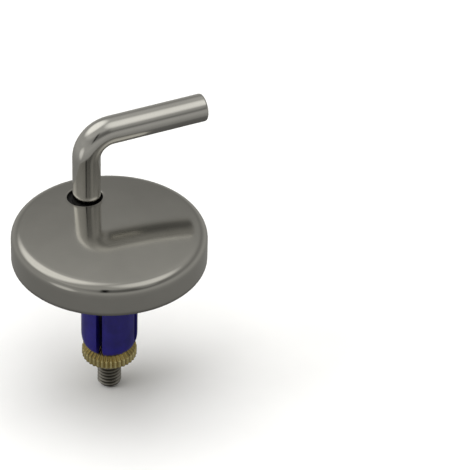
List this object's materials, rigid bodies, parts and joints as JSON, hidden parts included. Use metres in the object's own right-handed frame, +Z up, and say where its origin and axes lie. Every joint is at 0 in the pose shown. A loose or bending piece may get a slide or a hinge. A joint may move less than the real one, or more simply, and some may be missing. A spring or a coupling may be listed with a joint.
{
  "type": "top-fix toilet seat hinge",
  "caption": "Bent steel hinge pin standing off-centre on a round covered base, fixed from above by a screw, a split expansion plug and a knurled cone nut.",
  "frame": {"origin": "centre of the expansion plug's axis in the plane where the pad rests on the pan", "axes": "+Z up out of the pan along the plug, +X along the pin's arm, +Y from the plug to the pin's riser"},
  "size_m": [0.0553, 0.048, 0.0698],
  "materials": {
    "pin_steel": "polished stainless steel with a faint drawn grain",
    "cover_steel": "polished pressed stainless steel sheet",
    "base_casting": "black coated casting",
    "pad_rubber": "matte soft pad",
    "ring_rubber": "matte black rubber",
    "screw_steel": "plain stainless steel with a rolled thread",
    "plug_plastic": "dark blue moulded nylon, slightly glossy",
    "nut_brass": "bright knurled brass"
  },
  "bodies": {
    "plug_anchor": {"plug_collar": "plug_plastic"},
    "base": {"base_body": "base_casting", "base_pad": "pad_rubber", "cover_grip_ring": "ring_rubber", "cup_washer": "screw_steel", "pin_seal_washer": "ring_rubber"},
    "pin": {"hinge_pin": "pin_steel"},
    "cover": {"cover_disc": "cover_steel"},
    "set_screw": {"pin_set_screw": "screw_steel"},
    "screw": {"fixing_screw": "screw_steel"},
    "nut": {"cone_nut": "nut_brass"},
    "leg_1": {"plug_leg_1": "plug_plastic"},
    "leg_2": {"plug_leg_2": "plug_plastic"},
    "leg_3": {"plug_leg_3": "plug_plastic"},
    "leg_4": {"plug_leg_4": "plug_plastic"}
  },
  "joints": [
    {"name": "base_turn", "type": "hinge", "parent": "plug_anchor", "child": "base", "pos_m": [0, 0, 0], "axis": [0, 0, 1], "continuous": true},
    {"name": "pin_swivel", "type": "hinge", "parent": "base", "child": "pin", "pos_m": [0, 0.014, 0], "axis": [0, 0, 1], "continuous": true},
    {"name": "cover_lift", "type": "slide", "parent": "base", "child": "cover", "axis": [0, 0, 1], "range_m": [0, 0.009]},
    {"name": "set_screw_travel", "type": "slide", "parent": "base", "child": "set_screw", "axis": [0, 1, 0], "range_m": [0, 0.001]},
    {"name": "screw_turn", "type": "hinge", "parent": "base", "child": "screw", "pos_m": [0, 0, 0], "axis": [0, 0, -1], "range_deg": [0, 363.6]},
    {"name": "nut_travel", "type": "slide", "parent": "plug_anchor", "child": "nut", "axis": [0, 0, 1], "range_m": [0, 0.001]},
    {"name": "leg_1_spread", "type": "hinge", "parent": "plug_anchor", "child": "leg_1", "pos_m": [0, 0.007, -0.008], "axis": [1, 0, 0], "range_deg": [0, 5.6]},
    {"name": "leg_2_spread", "type": "hinge", "parent": "plug_anchor", "child": "leg_2", "pos_m": [-0.007, 0, -0.008], "axis": [0, 1, 0], "range_deg": [0, 5.6]},
    {"name": "leg_3_spread", "type": "hinge", "parent": "plug_anchor", "child": "leg_3", "pos_m": [0, -0.007, -0.008], "axis": [-1, 0, 0], "range_deg": [0, 5.6]},
    {"name": "leg_4_spread", "type": "hinge", "parent": "plug_anchor", "child": "leg_4", "pos_m": [0.007, 0, -0.008], "axis": [0, -1, 0], "range_deg": [0, 5.6]}
  ],
  "couplings": [
    {"joint": "screw_turn", "follows": "nut_travel", "rad_per_m": 6283.2},
    {"joint": "leg_1_spread", "follows": "nut_travel", "rad_per_m": 96.13},
    {"joint": "leg_2_spread", "follows": "nut_travel", "rad_per_m": 96.13},
    {"joint": "leg_3_spread", "follows": "nut_travel", "rad_per_m": 96.13},
    {"joint": "leg_4_spread", "follows": "nut_travel", "rad_per_m": 96.13}
  ]
}
